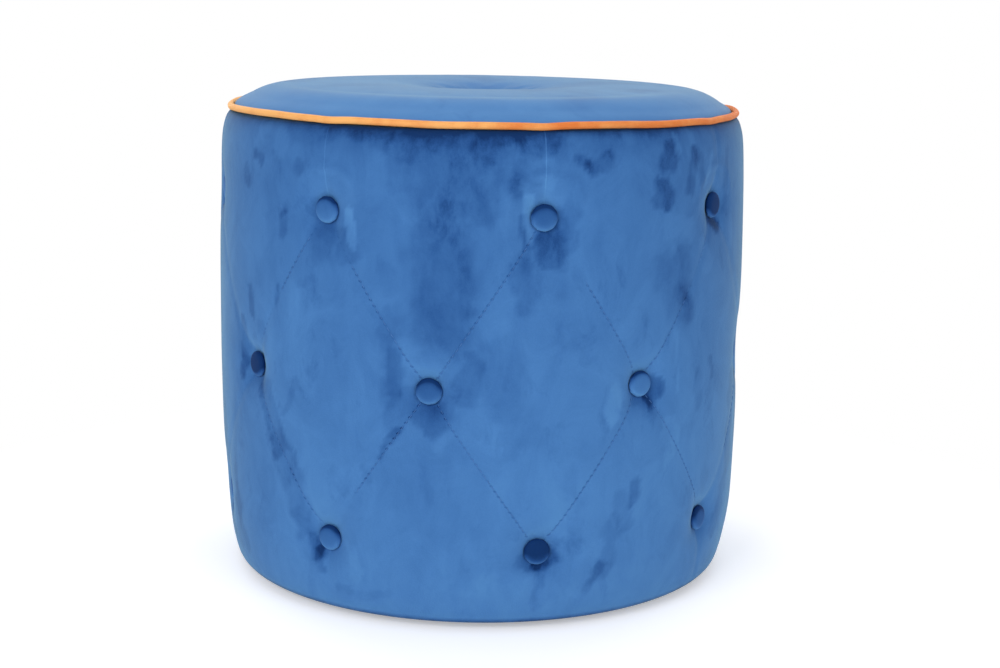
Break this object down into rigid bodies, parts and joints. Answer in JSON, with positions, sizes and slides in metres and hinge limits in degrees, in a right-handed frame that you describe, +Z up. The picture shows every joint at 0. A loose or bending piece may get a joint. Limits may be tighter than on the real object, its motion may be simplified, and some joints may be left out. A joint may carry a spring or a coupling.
{
  "type": "pouf",
  "caption": "Round padded pouf with a deep-buttoned, diamond-stitched velvet wall, a crowned seat with a buttoned dimple, contrast piping and a timber drum inside.",
  "frame": {"origin": "on the floor under the middle of the pouf", "axes": "+Z up along the axis of the drum, -Y towards the side that the picture shows"},
  "size_m": [0.435, 0.435, 0.4],
  "materials": {
    "velvet_wall": "crushed velvet",
    "velvet_seat": "brushed velvet",
    "velvet_button": "velvet",
    "piping_fabric": "smooth woven",
    "filler_cord": "twisted cotton",
    "twine": "waxed",
    "foam": "open cell foam",
    "wadding": "soft fibre",
    "fibreboard": "raw hardboard",
    "plywood": "raw",
    "softwood": "planed",
    "steel": "zinc plated",
    "dust_cloth": "non-woven",
    "glide_plastic": "satin"
  },
  "bodies": {
    "root": {"wall_cover": "velvet_wall", "seat_cover": "velvet_seat", "piping_cover": "piping_fabric", "piping_cord": "filler_cord", "button_upper_1": "velvet_button", "button_upper_2": "velvet_button", "button_upper_3": "velvet_button", "button_upper_4": "velvet_button", "button_upper_5": "velvet_button", "button_upper_6": "velvet_button", "button_upper_7": "velvet_button", "button_upper_8": "velvet_button", "button_middle_1": "velvet_button", "button_middle_2": "velvet_button", "button_middle_3": "velvet_button", "button_middle_4": "velvet_button", "button_middle_5": "velvet_button", "button_middle_6": "velvet_button", "button_middle_7": "velvet_button", "button_middle_8": "velvet_button", "button_lower_1": "velvet_button", "button_lower_2": "velvet_button", "button_lower_3": "velvet_button", "button_lower_4": "velvet_button", "button_lower_5": "velvet_button", "button_lower_6": "velvet_button", "button_lower_7": "velvet_button", "button_lower_8": "velvet_button", "seat_button": "velvet_button", "twine_upper_row": "twine", "washers_upper_row": "steel", "twine_middle_row": "twine", "washers_middle_row": "steel", "twine_lower_row": "twine", "washers_lower_row": "steel", "seat_twine": "twine", "seat_washer": "steel", "wall_foam": "foam", "seat_foam": "foam", "seat_wadding": "wadding", "drum_wall": "fibreboard", "base_board": "plywood", "top_board": "plywood", "upright_1": "softwood", "upright_2": "softwood", "upright_3": "softwood", "upright_4": "softwood", "base_screws": "steel", "top_screws": "steel", "wall_brads": "steel", "glide_screws": "steel", "base_staples": "steel", "dust_cover": "dust_cloth", "glide_1": "glide_plastic", "glide_2": "glide_plastic", "glide_3": "glide_plastic", "glide_4": "glide_plastic"}
  },
  "joints": []
}
